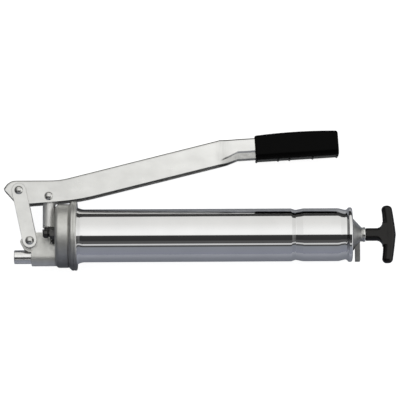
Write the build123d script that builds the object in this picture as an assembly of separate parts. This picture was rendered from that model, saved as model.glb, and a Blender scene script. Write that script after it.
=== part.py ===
"""Lever grease gun for 400 g cartridges, resting on its side.

Every piece is modelled in the gun's own frame: X along the barrel towards the T-handle, Y towards
the lever, Z square to the lever's plane, origin in the centre of the outlet's mouth. At the end all
of it is rolled about the outlet's axis, so that the barrel and the grip lie on one flat surface.
"""
from build123d import *
import os
from math import atan2, cos, degrees, radians, sin, sqrt, tan

os.makedirs("parts", exist_ok=True)

# ---- clearances ----
run_fit = 0.05            # radial, for what turns or slides
side_gap = 0.25           # between flat pieces that move past each other
seat_gap = 0.05           # between flat faces of two bodies that rest on each other
wire_seat = 0.1           # between a spring's end and its seat

# ---- lengths along X, from the outlet's mouth to the rear ----
outlet_len = 18.9
body_len = 25.9           # pump body, from the outlet to the cap
skirt_len = 14.5          # cap, from its face to the collar
collar_len = 8.6
tube_len = 296.6          # barrel that shows behind the collar
cap_rise = 1.0            # rear cap's flange stands this far out of the rim
cone_len = 9.3
neck_len = 1.2
guide_t = 2.9
handle_gap = 0.3
handle_stem = 18.2

# ---- barrel, sized by the 400 g cartridge ----
cartridge_d = 53.5
cartridge_room = 1.1
barrel_wall = 1.3
axis_up = 22.9            # barrel axis above the outlet axis
mouth_swell = 2.1         # the threaded mouth stands out from the tube
mouth_taper = 5.6
groove_back = 61.0        # pressed groove that stops the cartridge, from the tube's end
groove_depth = 1.6
groove_front_w = 4.8
groove_back_w = 8.1
waist_len = 8.8           # the tube draws in ahead of its rolled rim
waist_depth = 2.2
waist_soft = 14.0
rim_w = 5.8
rim_stand = 0.9           # rim over the tube
rim_round = 1.8

# ---- head casting ----
cap_wall = 3.7
cap_shoulder = 4.3
cap_floor = 4.0
collar_stand = 3.0        # collar over the cap
collar_slope = 3.0
collar_round = 1.2
collar_groove = 0.8
collar_line = 3.3         # fine groove round the collar, from its rear face
line_depth = 0.4
gasket_t = 1.6
gasket_w = 4.5
body_half = 10.0          # half thickness of the pump body
slab_top = 25.3
boss_r = 7.75             # boss round the plunger
boss_top = 26.4
ear_half = 7.0
ear_nose = Vector(-11.0, -0.2)      # corners of the ear, from the links' lower pin
ear_heel = Vector(-5.9, -8.9)
ear_brow = Vector(-6.6, 6.8)

# ---- outlet with its check valve ----
outlet_r = 7.45
outlet_bore_r = 4.5       # M10x1 female
outlet_bore_len = 12.0
shank_r = 5.0
shank_len = 7.0
valve_room_r = 3.7
ball_r = 3.0
port_r = 2.0
seat_wall = 2.8           # metal between the ball's seat and the plunger bore
check_wire = 0.7
check_spring_share = 0.6

# ---- toggle linkage and plunger ----
pin_back = 7.4            # lever pin ahead of the cap's face
pin_up = 65.25
link_top = Vector(5.2, 71.25)       # links to lever, the open pivot
foot_back = 1.7           # lower pin ahead of the pump body's front
foot_up = 16.2
pin_r = 3.0
pin_head_r = 4.75
pin_head_h = 2.6
link_t = 3.0
link_r = 7.7
link_edge = 0.3
open_pivot_room = 1.6     # free room round the upper pin in the lever's plates
piston_r = 4.5
piston_low = 1.0          # foot of the piston when the lever is down
stem_room = 0.45          # stem to cap
stem_gap = 0.3            # stem's shoulder over the gland nut when the lever is down
eye_r = 7.6
gland_top = 29.6
gland_seat = 24.2
gland_wall = 1.1
seal_len = 3.0

# ---- lever ----
plate = 2.0
lever_half = 10.0
nose_x, nose_y = -11.5, 73.7
lever_top = 82.65
crown_bend = 48.9         # where the top starts to climb
crown_slope = 14.05       # degrees
heel_x, heel_y = 4.4, 56.1
belly_x, belly_y = 68.0, 60.9
belly_slope = 13.9        # degrees
bend_r = 3.0
nose_round = 14.0
crown_round = 80.0
belly_round = 240.0
heel_round = 3.0
channel_end = 221.5
shoulder_at = 230.0       # the lower edge turns up here
shoulder_top, shoulder_low = 126.1, 100.9
shoulder_half = 9.6
neck_start = 241.5
neck_top, neck_low = 127.1, 105.3
neck_half = 8.8
neck_bevel = 1.4
neck_slope = 3.4          # degrees
press_top = 113.3         # the lower half of the neck is pressed in below this
press_front = 107.4       # the same line at the shoulder
press_depth = 1.5
press_wall = 1.8          # height of the sloping wall round the pressed part
press_lean = 0.7          # the pressed part leans in towards its lower edge
grip_at = 19.0            # neck that shows ahead of the grip
tang_len = 62.0
grip_cap = 28.3           # solid end of the grip, past the tang
grip_h, grip_w = 27.2, 24.0
grip_lift = 0.15
grip_corner = 6.5
grip_belly = 1.6          # the grip's back is fuller in the middle
grip_round = 2.2
grip_rib_r = 1.3
grip_lead = 1.6
rib_places = (0.0, 0.27, 0.41, 0.70, 1.0)

# ---- grease valves on the head ----
filler_y, filler_z = 21.4, 23.5
filler_af = 10.5
filler_hex_len = 5.0
filler_tip_r = 4.6
filler_len = 12.8
filler_bore_r = 1.4
vent_y, vent_z = 15.0, 14.6
vent_r = 3.1
vent_len = 5.2
vent_stem_r = 1.2
vent_press = 1.5

# ---- follower, rod and handle ----
rod_r = 4.0
follower_ahead = 2.3      # follower behind the gasket when the rod is home
cup_t = 2.4
cup_lip = 11.0
cup_gap = 0.1
plate_t = 2.0
front_plate_r = 19.0
hub_r = 7.5
hub_len = 12.0
spring_inset = 3.0
spring_wire = 2.4
spring_turns = 15
button_stand = 3.0
button_t = 1.4
stem_handle_r = 6.9
bar_half = 31.4
bar_w, bar_t = 14.5, 13.6
bar_sweep = 2.9           # the bar's ends lean towards the gun
bar_fillet = 6.5
bar_knob = 4.6            # rounding of the bar's ends

# ---- rear cap and latch ----
rear_sheet = 1.5
cone_r, neck_r = 17.6, 7.6
guide_r = 7.9
latch_back = 2.0          # latch behind the cone's start
latch_t = 1.6
latch_top = 7.2
latch_drop = 29.1
latch_w = 9.0
latch_hem = 5.3           # depth of the folded arm
latch_fold = 8.6          # the fold starts this far below the rod's axis
latch_slot = 0.6          # room beside the arm in the cone
latch_swing = 1.2         # room for its tilt
latch_hole = 0.4
latch_wire = 0.8
latch_spring_r = 5.4

# ---- what follows from them ----
cap_face = outlet_len + body_len
cap_end = cap_face + skirt_len + collar_len
barrel_end = cap_end + tube_len
barrel_r = (cartridge_d + cartridge_room) / 2 + barrel_wall
mouth_r = barrel_r + mouth_swell
thread_r = mouth_r + run_fit
cap_r = thread_r + cap_wall
rim_r = barrel_r + rim_stand
tube_seat = barrel_r - waist_depth - barrel_wall      # bore at the tube's rear end
rear_disc = barrel_end - 2 * rear_sheet
cone_start = barrel_end + cap_rise
neck_x = cone_start + cone_len
guide_at = neck_x + neck_len
handle_at = guide_at + guide_t + handle_gap
bar_mid = handle_at + handle_stem + bar_w / 2
latch_x = cone_start + latch_back
lever_pin = Vector(cap_face - pin_back, pin_up)
link_foot = Vector(outlet_len - foot_back, foot_up)
stem_r = pin_back - stem_room
gland_r = piston_r + gland_wall
gland_af = 2 * stem_r
seat_x = lever_pin.X - piston_r - run_fit - seat_wall
link_in = lever_half + side_gap
link_out = link_in + link_t
grip_start = neck_start + grip_at
grip_end = grip_start + tang_len + grip_cap
cup_front = cap_face + cap_floor + gasket_t + follower_ahead
cup_back = cup_front + cup_t
cup_r = barrel_r - barrel_wall - cup_gap
flange_r = cup_r - cup_t - 1.6
spring_r = flange_r - spring_inset
hub_back = cup_back + plate_t + hub_len


def at_x(x, y=axis_up, z=0.0):
    """Plane square to X; its own x axis runs along Y."""
    return Plane(origin=(x, y, z), x_dir=(0, 1, 0), z_dir=(1, 0, 0))


def at_y(y, x=0.0, z=0.0):
    return Plane(origin=(x, y, z), x_dir=(1, 0, 0), z_dir=(0, 1, 0))


def at_z(z):
    return Plane(origin=(0, 0, z), x_dir=(1, 0, 0), z_dir=(0, 0, 1))


def bar_x(r, x0, x1, y=axis_up, z=0.0):
    return extrude(at_x(x0, y, z) * Circle(r), x1 - x0)


def bar_y(r, y0, y1, x, z=0.0):
    return extrude(at_y(y0, x, z) * Circle(r), y1 - y0)


def bar_z(r, z0, z1, point):
    return extrude(at_z(z0) * Pos(point.X, point.Y) * Circle(r), z1 - z0)


def tube_x(r_out, r_in, x0, x1, y=axis_up, z=0.0):
    return bar_x(r_out, x0, x1, y, z) - bar_x(r_in, x0, x1, y, z)


def block(x0, x1, y0, y1, half_z):
    return Pos((x0 + x1) / 2, (y0 + y1) / 2, 0) * Box(x1 - x0, y1 - y0, 2 * half_z)


def spun(corners, y=axis_up, z=0.0):
    """Solid of revolution about a line along X; corners are (x, radius, rounding)."""
    points = [(x, r) for x, r, _ in corners]
    outline = FilletPolyline(*points, radius=[f for _, _, f in corners], close=True)
    face = Pos(0, y, z) * make_face(outline)
    return revolve(face, Axis((0, y, z), (1, 0, 0)))


def plate_z(corners, z0, z1):
    """Plate square to Z; corners are (x, y, rounding)."""
    points = [(x, y) for x, y, _ in corners]
    wire = FilletPolyline(*points, radius=[f for _, _, f in corners], close=True)
    return extrude(at_z(z0) * make_face(wire), z1 - z0)


def coil_x(mean_r, wire_d, turns, x0, x1, y=axis_up, z=0.0):
    """Compression spring between the faces x0 and x1."""
    start, length = x0 + wire_d / 2, x1 - x0 - wire_d
    path = Helix(pitch=length / turns, height=length, radius=mean_r,
                 center=(start, y, z), direction=(1, 0, 0))
    profile = Plane(origin=path @ 0, z_dir=path % 0) * Circle(wire_d / 2)
    return sweep(profile, path=path, is_frenet=True)


# ---------------------------------------------------------------- head
def head_cap():
    """Screw cap of the casting: floor, rounded shoulder, skirt, ring groove and collar."""
    collar = cap_face + skirt_len
    collar_r = cap_r + collar_stand
    line_at = cap_end - collar_line
    floor = cap_face + cap_floor
    return spun([
        (cap_face, 0, 0), (cap_face, cap_r, cap_shoulder), (collar - collar_groove, cap_r, 0),
        (collar - collar_groove / 2, cap_r - collar_groove, 0), (collar, cap_r, 0),
        (collar + collar_slope, collar_r, collar_round), (line_at - line_depth, collar_r, 0),
        (line_at, collar_r - line_depth, 0), (line_at + line_depth, collar_r, 0),
        (cap_end, collar_r, collar_round), (cap_end, thread_r, 0), (floor, thread_r, 0),
        (floor, 0, 0)])


def head_body():
    """Slab of the pump body, half round below, with the ear and the boss round the plunger."""
    root = cap_face + cap_floor / 2
    side = plate_z([
        (outlet_len, -body_half, 1.0), (root, -body_half, 0), (root, slab_top, 0),
        (link_foot.X + 4, slab_top, 2.0), (outlet_len, link_foot.Y, 0)], -body_half, body_half)
    upper = block(outlet_len - 5, root, 0, slab_top, body_half)
    slab = side & (bar_x(body_half, outlet_len - 5, root, 0) + upper)
    boss = bar_y(boss_r, slab_top - 12, boss_top, lever_pin.X)
    boss -= block(root, root + boss_r, 0, boss_top + 1, boss_r)
    return slab + boss + head_ear()


def head_ear():
    """Lug that carries the links' lower pin, spot-faced round the outlet."""
    brow, nose, heel = link_foot + ear_brow, link_foot + ear_nose, link_foot + ear_heel
    back = outlet_len + 1
    ear = plate_z([
        (brow.X, brow.Y, 2.0), (nose.X, nose.Y, 1.5), (heel.X, heel.Y, 1.5), (back, heel.Y - 5, 0),
        (back, brow.Y, 0)], -ear_half, ear_half)
    ear += bar_z(link_r, -body_half, body_half, link_foot)
    return ear - bar_x(outlet_r + 0.8, -5, outlet_len, 0)


def pump_head():
    head = head_cap() + head_body()
    bore = piston_r + run_fit
    floor = cap_face + cap_floor
    head -= bar_y(bore, piston_low - 3, boss_top + 1, lever_pin.X)
    head -= bar_y(gland_r, gland_seat - seal_len, boss_top + 1, lever_pin.X)
    head -= bar_x(shank_r, outlet_len - 1, outlet_len + shank_len, 0)
    head -= bar_x(valve_room_r, outlet_len, seat_x, 0)
    cone_end = seat_x + valve_room_r - port_r
    head -= spun([(seat_x - 0.01, 0, 0), (seat_x - 0.01, valve_room_r, 0), (cone_end, port_r, 0),
                  (cone_end, 0, 0)], 0)
    head -= bar_x(port_r, seat_x, lever_pin.X, 0)
    head -= bar_x(3.0, lever_pin.X, floor + 1, 16)
    head -= bar_z(pin_r, -body_half - 1, body_half + 1, link_foot)
    head -= bar_x(filler_tip_r, cap_face - 1, floor + 1, filler_y, filler_z)
    return head - bar_x(vent_r - 0.6, cap_face - 1, floor + 1, vent_y, vent_z)


def head_gasket():
    floor = cap_face + cap_floor
    return tube_x(mouth_r, mouth_r - gasket_w, floor, floor + gasket_t)


def outlet_connector():
    """Turned connector with a female thread in front and the check spring's seat behind."""
    end = outlet_len + shank_len
    body = spun([(0, 0, 0), (0, outlet_r, 0.8), (outlet_len, outlet_r, 0.6), (outlet_len, shank_r, 0),
                 (end, shank_r, 0), (end, 0, 0)], 0)
    body -= bar_x(outlet_bore_r, -1, outlet_bore_len, 0)
    body -= bar_x(port_r, outlet_bore_len - 1, end + 1, 0)
    return body - bar_x(ball_r, end - 3, end + 1, 0)


def ball_x():
    """Ball centre when it is a running gap short of its 45 degree cone."""
    return seat_x + valve_room_r - ball_r * sqrt(2) - run_fit * sqrt(2)


def check_ball():
    return Pos(ball_x(), 0, 0) * Sphere(ball_r)


def check_spring():
    mean = ball_r * check_spring_share
    back = ball_x() - sqrt(ball_r ** 2 - (mean + check_wire / 2) ** 2)
    return coil_x(mean, check_wire, 4, outlet_len + shank_len - 3, back - 0.3, 0)


def gland_nut():
    nut = bar_y(gland_r, gland_seat, boss_top, lever_pin.X)
    hexagon = RegularPolygon(gland_af / 2, 6, major_radius=False, rotation=30)
    nut += extrude(at_y(boss_top, lever_pin.X) * hexagon, gland_top - boss_top)
    return nut - bar_y(piston_r + run_fit, gland_seat, gland_top, lever_pin.X)


def plunger_seal():
    low = gland_seat - seal_len
    return (bar_y(gland_r, low, gland_seat, lever_pin.X)
            - bar_y(piston_r + run_fit, low, gland_seat, lever_pin.X))


def filler_valve():
    """Filling nipple screwed into the cap's face."""
    base = cap_face - filler_hex_len
    tip = cap_face - filler_len
    neck = filler_tip_r - 1.3
    hexagon = RegularPolygon(filler_af / 2, 6, major_radius=False, rotation=0)
    body = extrude(at_x(base, filler_y, filler_z) * hexagon, filler_hex_len)
    body += bar_x(filler_tip_r, cap_face, cap_face + cap_floor, filler_y, filler_z)
    body += spun([(tip, 0, 0), (tip, filler_tip_r - 1.7, 0), (tip + 1.3, filler_tip_r, 0.5),
                  (tip + 5.0, filler_tip_r, 0.5), (tip + 6.4, neck, 0.3), (base, neck, 0),
                  (base, 0, 0)], filler_y, filler_z)
    return body - bar_x(filler_bore_r, tip - 1, cap_face + cap_floor + 1, filler_y, filler_z)


def vent_body():
    front = cap_face - vent_len + vent_press + 0.6
    body = bar_x(vent_r, front, cap_face, vent_y, vent_z)
    body += bar_x(vent_r - 0.6, cap_face, cap_face + cap_floor, vent_y, vent_z)
    return body - bar_x(vent_stem_r + run_fit, front - 1, cap_face + cap_floor + 1, vent_y, vent_z)


def vent_button():
    tip = cap_face - vent_len
    r = vent_r - 0.4
    button = spun([(tip, 0, 0), (tip, r, 0.3), (tip + 0.6, r, 0), (tip + 0.6, 0, 0)], vent_y, vent_z)
    return button + bar_x(vent_stem_r, tip + 0.6, cap_face + cap_floor - vent_press, vent_y, vent_z)


# ---------------------------------------------------------------- toggle linkage and plunger
def link(side):
    """Toggle link outside the lever's plates; side is 1 for the near one."""
    z0, z1 = (link_in, link_out) if side > 0 else (-link_out, -link_in)
    run, middle = link_top - link_foot, (link_top + link_foot) * 0.5
    slot = SlotCenterToCenter(run.length, 2 * link_r)
    turned = Rot(0, 0, degrees(atan2(run.Y, run.X)))
    bar = extrude(at_z(z0) * Pos(middle.X, middle.Y) * turned * slot, link_t)
    outside = bar.edges().filter_by(lambda e: abs(e.center().Z - side * link_out) < 0.01)
    bar = chamfer(outside, link_edge)
    bar -= bar_z(pin_r, z0 - 1, z1 + 1, link_top)
    return bar - bar_z(pin_r + run_fit, z0 - 1, z1 + 1, link_foot)


def rivet(point, half):
    """Shank with a domed head at each end; half is where the heads start."""
    dome_r = (pin_head_r ** 2 + pin_head_h ** 2) / (2 * pin_head_h)
    dome = Pos(point.X, point.Y, half + pin_head_h - dome_r) * Sphere(dome_r)
    dome &= Pos(point.X, point.Y, half + pin_head_h / 2) * Cylinder(pin_head_r, pin_head_h)
    return bar_z(pin_r, -half, half, point) + dome + mirror(dome, about=Plane.XY)


def link_spacer():
    """Sleeve on the upper pin, between the lever's plates."""
    half = lever_half - plate - side_gap
    return bar_z(pin_r + 2, -half, half, link_top) - bar_z(pin_r, -half, half, link_top)


def pump_plunger():
    half = lever_half - plate - side_gap
    low = gland_top + stem_gap
    stem = bar_y(stem_r, low, lever_pin.Y, lever_pin.X)
    foot = stem.edges().filter_by(GeomType.CIRCLE).sort_by(Axis.Y)[0]
    stem = chamfer(foot, stem_r - piston_r)
    stem += bar_z(eye_r, -half, half, lever_pin)
    stem += bar_y(piston_r, piston_low, low, lever_pin.X)
    return stem - bar_z(pin_r + run_fit, -half - 1, half + 1, lever_pin)


# ---------------------------------------------------------------- lever
def climb(x):
    """Height of the lever's sloping top edge."""
    return lever_top + (x - crown_bend) * tan(radians(crown_slope))


def belly(x):
    """Height of the channel's lower edge behind its belly."""
    return belly_y + (x - belly_x) * tan(radians(belly_slope))


def neck_rise(x):
    return (x - neck_start) * tan(radians(neck_slope))


def side_view():
    """Outline of the channel, seen square to its plates; the nose's tip stays sharp."""
    return FilletPolyline(
        (nose_x, nose_y), (nose_x + nose_round * 0.4, lever_top), (crown_bend, lever_top),
        (channel_end, climb(channel_end)), (channel_end, belly(channel_end)), (belly_x, belly_y),
        (heel_x, heel_y), radius=[0, nose_round, crown_round, 0, 0, belly_round, heel_round], close=True)


def stepped(x, top, step_at, low, half, depth, lean, inset):
    """Section square to X, bevelled above; below step_at its sides lie deeper by depth."""
    upper, lower = half - inset, half - depth - inset
    right = [(top - inset, upper - neck_bevel), (top - inset - neck_bevel, upper), (step_at, upper),
             (step_at - press_wall, lower), (low + inset, lower - lean)]
    corners = right + [(y, -z) for y, z in reversed(right)]
    return at_x(x, 0.0) * make_face(Polyline(*corners, close=True))


def channel_section(inset=0.0):
    step_at = belly(channel_end) + plate + press_wall + 1
    return stepped(channel_end, climb(channel_end), step_at, belly(channel_end), lever_half, 0, 0, inset)


def shoulder_section(inset=0.0):
    return stepped(shoulder_at, shoulder_top, press_front, shoulder_low, shoulder_half,
                   press_depth / 2, 0, inset)


def neck_section(x, inset=0.0):
    up = neck_rise(x)
    return stepped(x, neck_top + up, press_top + up, neck_low + up, neck_half, press_depth,
                   press_lean, inset)


def neck_solid(inset):
    """From the channel's end through the shoulder and the neck to the end of the tang."""
    turn = [channel_section(inset), shoulder_section(inset), neck_section(neck_start, inset)]
    neck = [neck_section(neck_start, inset), neck_section(grip_start + tang_len, inset)]
    return loft(turn, ruled=True) + loft(neck)


def lever():
    """Pressed channel, open below, that closes into a narrow neck and the tang inside the grip."""
    outline = make_face(side_view())
    slab = extrude(at_z(-lever_half) * outline, 2 * lever_half)
    back = slab.edges().filter_by(lambda e: abs(abs(e.center().Z) - lever_half) < 0.01 and
                                  e.center().Y > (lever_top + heel_y) / 2 + 0.22 * e.center().X)
    slab = fillet(back, bend_r)
    inner_half = lever_half - plate
    room = extrude(at_z(-inner_half) * offset(outline, -plate), 2 * inner_half)
    for step in (1.5, 3.0, 6.0, 12.0, 24.0):
        room += Pos(0, -step * plate, 0) * room
    open_end = block(channel_end - 2 * plate, channel_end + plate, belly(channel_end) - 2 * plate,
                     climb(channel_end) - plate, inner_half)
    channel = slab - room - open_end
    seam = block(channel_end - 1, grip_start + tang_len + 1, shoulder_low - 10, press_top - plate,
                 plate / 2)
    mouth = extrude(at_y(shoulder_low - 5) * make_face(Polyline(
        (channel_end - 1, inner_half), (channel_end, inner_half), (neck_start, plate / 2),
        (neck_start, -plate / 2), (channel_end, -inner_half), (channel_end - 1, -inner_half),
        close=True)), neck_low - shoulder_low + 4)
    whole = channel + (neck_solid(0) - neck_solid(plate)) - seam - mouth
    whole -= bar_z(pin_r + open_pivot_room, -lever_half - 1, lever_half + 1, link_top)
    return whole - bar_z(pin_r, -lever_half - 1, lever_half + 1, lever_pin)


def grip_section(x, back=0.0):
    """Section of the grip, square to the neck; back is how much its top is raised."""
    middle = (neck_top + neck_low) / 2 + neck_rise(x) + grip_lift + back / 2
    a = radians(neck_slope)
    plane = Plane(origin=(x, middle, 0), x_dir=(-sin(a), cos(a), 0), z_dir=(cos(a), sin(a), 0))
    return plane * RectangleRounded(grip_h + back, grip_w, grip_corner)


def lever_grip():
    """Moulded sleeve with finger ribs below."""
    half_way = (grip_start + grip_end) / 2
    body = loft([grip_section(grip_start), grip_section(half_way, grip_belly), grip_section(grip_end)])
    ends = body.faces().sort_by(Axis.X)
    body = fillet(ends[0].edges() + ends[-1].edges(), grip_round)
    low = (neck_top + neck_low - grip_h) / 2 + grip_lift
    reach = grip_end - grip_start - 2 * grip_lead
    for share in rib_places:
        x = grip_start + grip_lead + share * reach
        body += Pos(x, low + neck_rise(x) + 0.3, 0) * Cylinder(grip_rib_r, grip_w - 2 * grip_corner)
    return body - loft([neck_section(grip_start - 2), neck_section(grip_start + tang_len)])


# ---------------------------------------------------------------- barrel and rear cap
def tube_skin(depth):
    """Points along the tube; depth is how far they lie below the outer skin."""
    r = barrel_r - depth
    groove_at = barrel_end - groove_back
    waist_end = barrel_end - rim_w
    return [
        (cap_end, r + mouth_swell, 3.0), (cap_end + mouth_taper, r, 12.0),
        (groove_at - groove_front_w, r, 4.0), (groove_at, r - groove_depth, 1.5 + depth),
        (groove_at + groove_back_w, r, 8.0), (waist_end - waist_len, r, waist_soft),
        (waist_end, r - waist_depth, 3.0)]


def barrel():
    """Drawn tube with a threaded mouth, a pressed groove, a waist and a rolled rim."""
    front = cap_face + cap_floor + gasket_t + seat_gap
    rim_front = barrel_end - rim_w + 1.6
    rim = [(rim_front, rim_r, rim_round), (barrel_end, rim_r, rim_round), (barrel_end, tube_seat, 0),
           (rear_disc, tube_seat, 0)]
    return spun([(front, mouth_r, 0)] + tube_skin(0) + rim + tube_skin(barrel_wall)[::-1]
                + [(front, mouth_r - barrel_wall, 0)])


def rear_cap():
    """Pressed end cap: flange in the rim, cone and neck, slotted for the latch."""
    t = rear_sheet
    cap = spun([
        (rear_disc, tube_seat, 0), (rear_disc + t, tube_seat, 0.6), (rear_disc + t, cone_r + 3.0, 2.0),
        (cone_start, cone_r, 2.0), (neck_x, neck_r, 1.5), (guide_at, neck_r, 0),
        (guide_at, neck_r - t, 0), (neck_x - 0.6, neck_r - t, 1.0),
        (cone_start - 1.2, cone_r - t, 2.0), (rear_disc, cone_r + 2.0, 2.0)])
    slot = block(latch_x - latch_slot, latch_x + latch_hem + latch_slot + latch_swing,
                 axis_up - cone_r - 11, axis_up - 5, latch_w / 2 + latch_slot)
    return cap - slot


def rod_guide():
    """Bush in the rear cap's neck; its flange shows as a bright ring."""
    bore, end = rod_r + run_fit, guide_at + guide_t
    return spun([
        (neck_x - 0.6, bore, 0), (neck_x - 0.6, neck_r - rear_sheet, 0),
        (guide_at, neck_r - rear_sheet, 0), (guide_at, guide_r, 0.8), (end, guide_r, 0.8),
        (end, bore, 0)])


def latch_lever():
    """Locking plate round the rod; below the cone its arm is folded to a finger tab."""
    plate_ring = bar_x(latch_top, latch_x, latch_x + latch_t)
    arm = block(latch_x, latch_x + latch_t, axis_up - latch_drop, axis_up, latch_w / 2)
    tab = block(latch_x, latch_x + latch_hem, axis_up - latch_drop, axis_up - latch_fold, latch_w / 2)
    tab = fillet(tab.edges().filter_by(Axis.Z), 0.9)
    return plate_ring + arm + tab - bar_x(rod_r + latch_hole, latch_x - 1, latch_x + latch_t + 1)


def latch_spring():
    return coil_x(latch_spring_r, latch_wire, 2, latch_x + latch_t + seat_gap, neck_x - 0.6 - seat_gap)


# ---------------------------------------------------------------- follower, rod and handle
def follower_cup():
    """Rubber cup that wipes the cartridge."""
    bore = rod_r + run_fit
    return spun([
        (cup_front, bore, 0), (cup_front, cup_r - 2.0, 1.5), (cup_front + 4, cup_r, 2.0),
        (cup_front + cup_lip, cup_r, 0), (cup_front + cup_lip, cup_r - 1.6, 0),
        (cup_back, cup_r - cup_t - 1.2, 1.0), (cup_back, bore, 0)])


def front_washer():
    return tube_x(front_plate_r, rod_r + run_fit, cup_back, cup_back + plate_t)


def follower_hub():
    """Flange that carries the spring, with a sleeve that guides the rod."""
    x0 = cup_back + plate_t
    hub = bar_x(flange_r, x0, x0 + plate_t) + bar_x(hub_r, x0, hub_back)
    return hub - bar_x(rod_r + run_fit, x0, hub_back)


def follower_rod():
    ring = bar_x(rod_r + 2.0, hub_back + seat_gap, hub_back + plate_t)
    return bar_x(rod_r, cup_front - 0.6, bar_mid - 2) + ring


def rod_button():
    """Flat head on the rod's front end; it draws the follower back."""
    x1 = cup_front - seat_gap
    r = rod_r + button_stand
    return spun([(x1 - button_t, 0, 0), (x1 - button_t, r, 0.5), (x1, r, 0), (x1, rod_r, 0),
                 (cup_front - 0.6, rod_r, 0), (cup_front - 0.6, 0, 0)])


def follower_spring():
    seat = cup_back + 2 * plate_t
    return coil_x(spring_r, spring_wire, spring_turns, seat + wire_seat, rear_disc - wire_seat)


def t_handle():
    """Moulded T: a stem that flares into a bar whose ends lean towards the gun."""
    inner = bar_mid - bar_w / 2
    stem = spun([(handle_at, 0, 0), (handle_at, stem_handle_r, 1.0), (inner, stem_handle_r, bar_fillet),
                 (inner, stem_handle_r + bar_fillet, 0), (bar_mid, stem_handle_r + bar_fillet, 0),
                 (bar_mid, 0, 0)])
    stem &= block(handle_at - 1, bar_mid, axis_up - bar_half, axis_up + bar_half, bar_t / 2 - 0.4)
    stations = [(0.0, 0.0, 1.0, 1.0), (0.55, 0.31, 0.84, 0.94), (1.0, 1.0, 0.81, 0.86)]
    half = loft([at_y(axis_up + y * bar_half, bar_mid - lean * bar_sweep)
                 * Ellipse(w * bar_w / 2, t * bar_t / 2) for y, lean, w, t in stations])
    tip = half.edges().filter_by(lambda e: e.center().Y > axis_up + bar_half - 0.01)
    half = fillet(tip, bar_knob)
    bar = half + mirror(half, about=Plane.XZ.offset(-axis_up))
    return stem + bar - bar_x(rod_r, handle_at - 1, bar_mid - 2)


# ---------------------------------------------------------------- placing and writing
def roll_angle():
    """Roll about X that brings the grip's side down to the plane the barrel's rim lies on."""
    reach = (neck_top + neck_low) / 2 + neck_rise(grip_end) + grip_lift - axis_up
    low, high = 0.0, 30.0
    for _ in range(50):
        a = (low + high) / 2
        down = reach * sin(radians(a)) + grip_w / 2 * cos(radians(a))
        low, high = (a, high) if down < rim_r else (low, a)
    return low


nodes = {
    "pump_head": pump_head(), "head_gasket": head_gasket(), "outlet_connector": outlet_connector(),
    "check_ball": check_ball(), "check_spring": check_spring(), "gland_nut": gland_nut(),
    "plunger_seal": plunger_seal(), "filler_valve": filler_valve(), "vent_body": vent_body(),
    "vent_button": vent_button(), "link_near": link(1), "link_far": link(-1),
    "link_spacer": link_spacer(), "rivet_upper": rivet(link_top, link_out),
    "rivet_middle": rivet(lever_pin, lever_half), "rivet_lower": rivet(link_foot, link_out + side_gap),
    "pump_plunger": pump_plunger(), "lever": lever(), "lever_grip": lever_grip(),
    "barrel": barrel(), "rear_cap": rear_cap(), "rod_guide": rod_guide(),
    "latch_lever": latch_lever(), "latch_spring": latch_spring(), "follower_cup": follower_cup(),
    "front_washer": front_washer(), "follower_hub": follower_hub(), "follower_rod": follower_rod(),
    "rod_button": rod_button(), "follower_spring": follower_spring(), "t_handle": t_handle(),
}

roll = roll_angle()
print(f"roll {roll:.4f} degrees")
for name, shape in nodes.items():
    solids = (Rot(-roll, 0, 0) * shape).solids()
    export_step(solids[0] if len(solids) == 1 else Compound(solids), f"parts/{name}.step")
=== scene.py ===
"""Studio scene for the lever grease gun: finishes, springs, floor, light and camera."""
from math import radians

import bpy
from mathutils import Matrix, Vector


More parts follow.
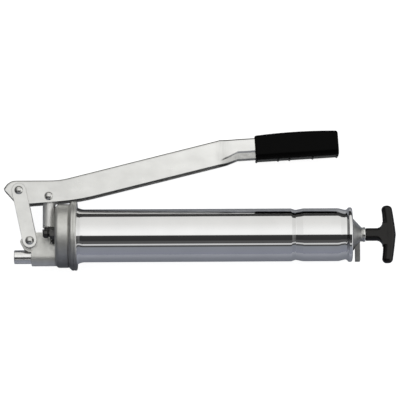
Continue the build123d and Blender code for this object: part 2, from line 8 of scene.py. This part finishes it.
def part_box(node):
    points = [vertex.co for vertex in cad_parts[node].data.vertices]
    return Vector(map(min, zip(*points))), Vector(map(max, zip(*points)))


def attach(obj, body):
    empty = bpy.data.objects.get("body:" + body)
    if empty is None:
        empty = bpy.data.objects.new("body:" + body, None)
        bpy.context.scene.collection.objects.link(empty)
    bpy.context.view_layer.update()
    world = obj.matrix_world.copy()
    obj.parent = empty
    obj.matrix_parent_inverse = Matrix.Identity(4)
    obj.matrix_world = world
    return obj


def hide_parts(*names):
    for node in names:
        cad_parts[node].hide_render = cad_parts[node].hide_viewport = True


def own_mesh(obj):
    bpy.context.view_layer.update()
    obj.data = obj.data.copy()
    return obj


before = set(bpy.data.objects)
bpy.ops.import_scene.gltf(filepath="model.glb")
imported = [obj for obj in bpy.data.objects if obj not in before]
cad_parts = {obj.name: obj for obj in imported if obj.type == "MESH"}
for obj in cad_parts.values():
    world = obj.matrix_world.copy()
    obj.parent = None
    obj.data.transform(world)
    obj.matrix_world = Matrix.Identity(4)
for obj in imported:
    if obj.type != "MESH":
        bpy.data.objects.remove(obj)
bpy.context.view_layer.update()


# ---------------------------------------------------------------- node helpers
class Nodes:
    """Short calls for building one node tree."""

    def __init__(self, tree):
        self.tree = tree
        tree.nodes.clear()

    def add(self, kind, **props):
        node = self.tree.nodes.new(kind)
        for key, value in props.items():
            setattr(node, key, value)
        return node

    def link(self, a, b):
        self.tree.links.new(a, b)

    def put(self, value, socket):
        """Set a socket to a number or colour, or link it to another socket."""
        if isinstance(value, bpy.types.NodeSocket):
            self.link(value, socket)
        else:
            socket.default_value = value

    def math(self, operation, *values):
        node = self.add("ShaderNodeMath", operation=operation)
        for value, socket in zip(values, node.inputs):
            self.put(value, socket)
        return node.outputs[0]

    def span(self, value, low, high, to_low=0.0, to_high=1.0):
        """Map low..high onto to_low..to_high, held at the ends."""
        node = self.add("ShaderNodeMapRange")
        for number, socket in zip((value, low, high, to_low, to_high), node.inputs):
            self.put(number, socket)
        return node.outputs[0]

    def ramp(self, value, stops):
        """Colour ramp through (position, colour) stops; a lone number is a grey."""
        node = self.add("ShaderNodeValToRGB")
        band = node.color_ramp
        while len(band.elements) < len(stops):
            band.elements.new(0.5)
        for element, (at, colour) in zip(band.elements, stops):
            element.position = at
            if isinstance(colour, (int, float)):
                colour = (colour, colour, colour)
            element.color = (*colour, 1)
        self.link(value, node.inputs["Fac"])
        return node.outputs["Color"]

    def between(self, share, first, second, blend="MIX"):
        """Mix of two colours by a share from 0 to 1."""
        mix = self.add("ShaderNodeMix", data_type="RGBA", blend_type=blend)
        for value, name in ((share, "Factor"), (first, "A"), (second, "B")):
            self.put(value, mix.inputs[name])
        return mix.outputs["Result"]

    def axis(self, vector, name):
        """One coordinate of a vector socket."""
        split = self.add("ShaderNodeSeparateXYZ")
        self.link(vector, split.inputs[0])
        return split.outputs[name]

    def emission(self, strength, colour=(1.0, 1.0, 1.0, 1.0)):
        node = self.add("ShaderNodeEmission")
        self.put(colour, node.inputs["Color"])
        self.put(strength, node.inputs["Strength"])
        return node.outputs[0]

    def total(self, shader, *others):
        """Sum of shaders."""
        for other in others:
            node = self.add("ShaderNodeAddShader")
            self.link(shader, node.inputs[0])
            self.link(other, node.inputs[1])
            shader = node.outputs[0]
        return shader


class Finish(Nodes):
    """Material on one Principled shader, with noise and bump in object coordinates."""

    def __init__(self, name, **values):
        self.mat = bpy.data.materials.new(name)
        self.mat.use_nodes = True
        super().__init__(self.mat.node_tree)
        self.out = self.add("ShaderNodeOutputMaterial")
        self.bsdf = self.add("ShaderNodeBsdfPrincipled")
        self.link(self.bsdf.outputs[0], self.out.inputs["Surface"])
        for key, value in values.items():
            self.put(value, self.bsdf.inputs[key.replace("_", " ")])

    def object_place(self):
        return self.add("ShaderNodeTexCoord").outputs["Object"]

    def place(self, axis):
        """Object coordinate along one axis, in metres."""
        return self.axis(self.object_place(), axis)

    def noise(self, scale, detail=4, rough=0.6, stretch=(1, 1, 1)):
        mapping = self.add("ShaderNodeMapping")
        mapping.inputs["Scale"].default_value = stretch
        self.link(self.object_place(), mapping.inputs["Vector"])
        node = self.add("ShaderNodeTexNoise")
        for key, value in (("Scale", scale), ("Detail", detail), ("Roughness", rough)):
            node.inputs[key].default_value = value
        self.link(mapping.outputs["Vector"], node.inputs["Vector"])
        return node.outputs["Fac"]

    def cloudy(self, cloud, dark, light):
        """Two tones that follow a noise, mostly through its middle values."""
        return self.ramp(cloud, [(0.3, dark), (0.7, light)])

    def colour(self, shade):
        self.link(shade, self.bsdf.inputs["Base Color"])

    def gloss(self, cloud, low, high):
        self.link(self.cloudy(cloud, low, high), self.bsdf.inputs["Roughness"])

    def bump(self, height, strength, distance):
        node = self.add("ShaderNodeBump")
        node.inputs["Strength"].default_value = strength
        node.inputs["Distance"].default_value = distance
        self.link(height, node.inputs["Height"])
        self.link(node.outputs["Normal"], self.bsdf.inputs["Normal"])


def wear(names, finish):
    """Give the nodes a finish."""
    for name in names:
        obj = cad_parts[name]
        if not obj.material_slots:
            obj.data.materials.append(finish.mat)
        for slot in obj.material_slots:
            slot.material = finish.mat


def warm(shade):
    """Grey with a little less blue."""
    return (shade, shade, shade - 0.01)


# ---------------------------------------------------------------- finishes
def plated_steel():
    """Satin plating, with painted light making it paler along the long arm, and painted shade at the
    shoulder's press dents and on the pressed-in lower half of the neck.
    """
    arm_light_start, arm_light_full = 0.06, 0.26  # along X, where painted light makes the plating paler
    shoulder_shade_start, shoulder_shade_full = 0.216, 0.223  # painted shade of the press dents at the shoulder, from and to along X
    shoulder_shade_fade, shoulder_shade_end = 0.227, 0.236
    neck_start, neck_full = 0.222, 0.228  # where the painted shade on the pressed-in lower half of the neck begins
    facet_soft, facet_full = -0.0004, 0.0010  # depth below the neck's ridge line

    n = Finish("satin_plate", Metallic=1.0)
    x, y = n.place("X"), n.place("Y")
    # painted shade of the press dents at the shoulder, in streaks along X
    into = n.span(x, shoulder_shade_start, shoulder_shade_full)
    out_of = n.span(x, shoulder_shade_fade, shoulder_shade_end, 1.0, 0.0)
    streaks = n.span(n.noise(260, 3, 0.6, (1.0, 0.12, 0.12)), 0.35, 0.65, 0.35, 1.0)
    shoulder_shade = n.math("MULTIPLY", n.math("MULTIPLY", into, out_of), streaks)
    # painted light: the plating paler along the long arm, less the painted shade at the shoulder
    pale = n.math("SUBTRACT", n.span(x, arm_light_start, arm_light_full), shoulder_shade)
    cloud = n.noise(45, 5, 0.6)
    plain = n.between(pale, n.cloudy(cloud, warm(0.72), warm(0.82)), n.cloudy(cloud, warm(0.90), warm(0.97)))

    # Y of the ridge line at two places along X: steep through the shoulder, then along the neck
    shoulder_line = n.span(x, 0.2, 0.26, 0.0940, 0.1197)
    neck_line = n.span(x, 0.2, 0.3, 0.1093, 0.1152)
    below = n.math("SUBTRACT", n.math("MINIMUM", shoulder_line, neck_line), y)
    # painted shade on the pressed-in lower half of the neck, below its ridge line
    pressed = n.span(below, facet_soft, facet_full, 0.0, 0.8)
    neck_facet_shade = n.cloudy(n.noise(300, 4, 0.6), warm(0.42), warm(0.62))
    n.colour(n.between(n.math("MULTIPLY", pressed, n.span(x, neck_start, neck_full)), plain, neck_facet_shade))
    n.gloss(n.noise(140, 4, 0.6, (0.4, 1, 1)), 0.27, 0.36)
    n.bump(n.noise(900, 3, 0.5, (0.3, 1, 1)), 0.06, 0.0003)
    return n


def cast_metal():
    """Sand-cast head, with painted shade making the cap darker on its side away from the lever."""
    cap_start, cap_full = 0.043, 0.047  # along X, where the cap begins
    cap_shade_full, cap_shade_end = -0.008, 0.017  # along Y, where the cap's painted shade is full and where it ends

    n = Finish("cast_head", Metallic=1.0)
    # painted shade: the cap darker on its side away from the lever
    dark = n.math("MULTIPLY", n.span(n.place("Y"), cap_shade_full, cap_shade_end, 1.0, 0.0),
                  n.span(n.place("X"), cap_start, cap_full))
    cloud = n.noise(90, 6, 0.65)
    bright = n.cloudy(cloud, (0.70, 0.70, 0.68), (0.84, 0.84, 0.82))
    n.colour(n.between(dark, bright, n.cloudy(cloud, 0.20, 0.28)))
    n.gloss(n.noise(300, 4, 0.6), 0.42, 0.54)
    n.bump(n.noise(1400, 4, 0.6), 0.20, 0.0003)
    return n


def chrome():
    n = Finish("tube_chrome", Metallic=1.0)
    n.colour(n.cloudy(n.noise(40, 3, 0.5), (0.86, 0.86, 0.87), (0.90, 0.90, 0.91)))
    n.gloss(n.noise(220, 4, 0.6), 0.02, 0.05)
    n.bump(n.noise(25, 2, 0.5, (0.25, 1, 1)), 0.04, 0.0004)
    return n


def steel(name, dark, light, rough):
    n = Finish(name, Metallic=1.0)
    n.colour(n.cloudy(n.noise(160, 5, 0.6), dark, light))
    n.gloss(n.noise(260, 4, 0.6), *rough)
    return n


def plastic(name, shade, rough, grain, depth, specular, sheen=0.0):
    n = Finish(name, Specular_IOR_Level=specular, Sheen_Weight=sheen, Sheen_Roughness=0.3)
    n.colour(n.cloudy(n.noise(70, 4, 0.6), tuple(0.8 * c for c in shade), shade))
    n.gloss(n.noise(200, 4, 0.6), rough - 0.05, rough + 0.05)
    n.bump(n.noise(grain, 3, 0.6), 0.3, depth)
    return n


plain_steels = [  # finish, darker and lighter tone, roughness, nodes
    ("rivet_steel", warm(0.70), warm(0.80), (0.20, 0.28),
     ["rivet_upper", "rivet_middle", "rivet_lower", "rod_guide"]),
    ("plunger_steel", warm(0.80), warm(0.90), (0.42, 0.52), ["pump_plunger"]),
    ("turned_steel", 0.84, 0.94, (0.16, 0.24), ["outlet_connector"]),
    ("bright_steel", 0.64, 0.74, (0.16, 0.26),
     ["check_ball", "link_spacer", "front_washer", "follower_hub", "follower_rod", "rod_button"]),
    ("latch_steel", 0.11, 0.18, (0.30, 0.42), ["latch_lever"]),
    ("black_steel", 0.06, 0.11, (0.30, 0.42), ["gland_nut", "filler_valve", "vent_body", "vent_button"]),
    ("rear_steel", warm(0.50), warm(0.64), (0.32, 0.42), ["rear_cap"]),
    ("spring_steel", 0.25, 0.35, (0.25, 0.35), ["check_spring", "latch_spring", "follower_spring"]),
]

wear(["pump_head"], cast_metal())
wear(["lever", "link_near", "link_far"], plated_steel())
wear(["barrel"], chrome())
for finish_name, darker, lighter, roughness, node_names in plain_steels:
    wear(node_names, steel(finish_name, darker, lighter, roughness))
wear(["lever_grip"], plastic("grip_vinyl", (0.002, 0.002, 0.002), 0.32, 900, 0.0002, 0.05, 0.25))
wear(["t_handle"], plastic("handle_plastic", (0.004, 0.0025, 0.0022), 0.22, 1200, 0.0001, 0.37))
wear(["head_gasket", "plunger_seal", "follower_cup"],
     plastic("seal_rubber", (0.03, 0.03, 0.03), 0.60, 900, 0.0002, 0.30))


# ---------------------------------------------------------------- springs
def coil(node, body):
    """Copy of a coil spring that moves with one body, in place of the original part."""
    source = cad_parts[node]
    piece = bpy.data.objects.new(f"{node}_coil", source.data.copy())
    bpy.context.scene.collection.objects.link(piece)
    piece.matrix_world = source.matrix_world
    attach(piece, body)
    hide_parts(node)
    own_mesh(piece)


coil("follower_spring", "tube")
coil("latch_spring", "tube")
coil("check_spring", "head")


# ---------------------------------------------------------------- floor
def rim_radius():
    """Radius at the rear end of the barrel, read from its mesh."""
    rim_zone = 0.008  # length of barrel that holds the rim
    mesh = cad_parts["barrel"].data
    low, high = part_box("barrel")
    middle = Vector((0, (low[1] + high[1]) / 2, (low[2] + high[2]) / 2))
    rear = [v.co for v in mesh.vertices if v.co.x > high[0] - rim_zone]
    return max((Vector((0, co.y, co.z)) - middle).length for co in rear)


def floor_plane():
    """The three points that the gun lies on: its collar, the barrel's rim and the end of the grip."""
    collar_in = 0.003  # from the mouth of the cap
    rim_in = 0.0026  # from the rear end of the barrel
    grip_in = 0.010  # from the upper edge of the grip
    low_head, high_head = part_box("pump_head")
    low_tube, high_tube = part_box("barrel")
    low_grip, high_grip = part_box("lever_grip")
    middle = (low_tube[1] + high_tube[1]) / 2
    collar = Vector((high_head[0] - collar_in, middle, low_head[2]))
    rim = Vector((high_tube[0] - rim_in, middle, (low_tube[2] + high_tube[2]) / 2 - rim_radius()))
    grip = Vector((high_grip[0], high_grip[1] - grip_in, low_grip[2]))
    return collar, rim, grip


def floor_finish():
    """White to the camera; polished metal sees it as grey as a workbench, dark beyond the lever."""
    n = Finish("floor_pale", Roughness=0.9)
    path = n.add("ShaderNodeLightPath")
    glossy = path.outputs["Is Glossy Ray"]
    position = n.add("ShaderNodeNewGeometry").outputs["Position"]
    across = n.span(n.axis(position, "Y"), -0.3, 0.2)
    bench_shade = n.ramp(across, [(0.15, (0.43, 0.44, 0.49)), (0.50, (0.27, 0.28, 0.32)),
                                  (0.72, (0.30, 0.32, 0.36)), (0.74, 0.2), (0.78, 0.6),
                                  (0.85, 0.6), (0.88, 0.015)])
    n.colour(n.between(glossy, (0.5, 0.5, 0.5, 1), bench_shade))
    white = n.emission(n.math("MULTIPLY", path.outputs["Is Camera Ray"], 0.9))
    bench_tint = n.ramp(across, [(0.72, (0.80, 0.86, 1.0)), (0.85, (0.80, 0.86, 1.0)), (0.88, 0.0)])
    bench = n.emission(n.math("MULTIPLY", glossy, 0.10), bench_tint)
    n.link(n.total(white, bench, n.bsdf.outputs[0]), n.out.inputs["Surface"])
    return n


def floor():
    """Large plain floor under the three points that the gun lies on."""
    half_size = 4.0
    clearance = 0.0002
    collar, rim, grip = floor_plane()
    normal = (rim - collar).cross(grip - collar).normalized()
    if normal.z < 0:
        normal.negate()
    mesh = bpy.data.meshes.new("floor")
    corners = [(x * half_size, y * half_size, 0) for x, y in ((-1, -1), (1, -1), (1, 1), (-1, 1))]
    mesh.from_pydata(corners, [], [(0, 1, 2, 3)])
    mesh.materials.append(floor_finish().mat)
    plane = bpy.data.objects.new("floor", mesh)
    bpy.context.scene.collection.objects.link(plane)
    turn = normal.to_track_quat("Z", "Y").to_matrix().to_4x4()
    plane.matrix_world = Matrix.Translation(collar - normal * clearance) @ turn


floor()


# ---------------------------------------------------------------- light
def studio():
    """World in bands: a bright bank on the lever's side, narrow stripes on the other, a pale card at
    the T-handle's end. The camera itself sees plain white.
    """
    # the bands run round the X axis, by their angle in degrees from straight up towards the lever
    low, high = -90, 110
    bank = [(-90, (0.24, 0.25, 0.30)), (-52, (0.24, 0.255, 0.28)), (-48, 0.07), (-43.5, 0.06),
            (-41, 0.68), (-37, 0.68), (-34, 0.05), (-31, 0.09), (-25, 0.09), (-21, 0.035),
            (0.0, 0.04), (3.0, (1.0, 1.0, 0.98)), (18, (1.0, 1.0, 0.98)),
            (52, (0.82, 0.815, 0.79)), (98, (0.73, 0.73, 0.705)), (101, 0.01)]
    # share of that light along X, from the outlet's end (0) to the T-handle's (1)
    ends = [(0.0, 0.10), (0.14, 0.26), (0.28, 0.85), (0.40, 1.0), (0.70, 1.0), (0.85, 0.8), (1.0, 0.75)]
    card_start, card_full = 0.60, 0.85
    card = (1.0, 1.0, 0.98, 1)
    white = (1.0, 1.0, 1.0, 1)

    world = bpy.data.worlds.new("studio")
    bpy.context.scene.world = world
    world.use_nodes = True
    n = Nodes(world.node_tree)
    out = n.add("ShaderNodeOutputWorld")
    background = n.add("ShaderNodeBackground")
    n.link(background.outputs[0], out.inputs["Surface"])
    towards = n.add("ShaderNodeTexCoord").outputs["Generated"]
    along = n.axis(towards, "X")
    tilt = n.math("ARCTAN2", n.axis(towards, "Y"), n.axis(towards, "Z"))
    bands = n.ramp(n.span(tilt, radians(low), radians(high)),
                   [((at - low) / (high - low), colour) for at, colour in bank])
    light = n.between(1.0, bands, n.ramp(n.span(along, -1.0, 1.0), ends), "MULTIPLY")
    light = n.between(n.span(along, card_start, card_full), light, card)
    seen = n.between(n.add("ShaderNodeLightPath").outputs["Is Camera Ray"], light, white)
    n.link(seen, background.inputs["Color"])


studio()


# ---------------------------------------------------------------- camera
def camera():
    """Long lens straight above the gun, with a slight turn."""
    distance = 3.0
    frame_width = 0.4314  # what the picture spans at the gun
    aim = Vector((0.2006, 0.0607, 0.0))
    turn_angle = -0.005  # radians
    turn = Matrix.Rotation(turn_angle, 4, "Z")
    data = bpy.data.cameras.new("camera")
    data.sensor_width = 36.0
    data.lens = data.sensor_width * distance / frame_width
    data.clip_end = 10
    obj = bpy.data.objects.new("camera", data)
    bpy.context.scene.collection.objects.link(obj)
    obj.matrix_world = Matrix.Translation(aim + Vector((0, 0, distance))) @ turn
    bpy.context.scene.camera = obj


camera()
bpy.context.scene.view_settings.view_transform = "Standard"
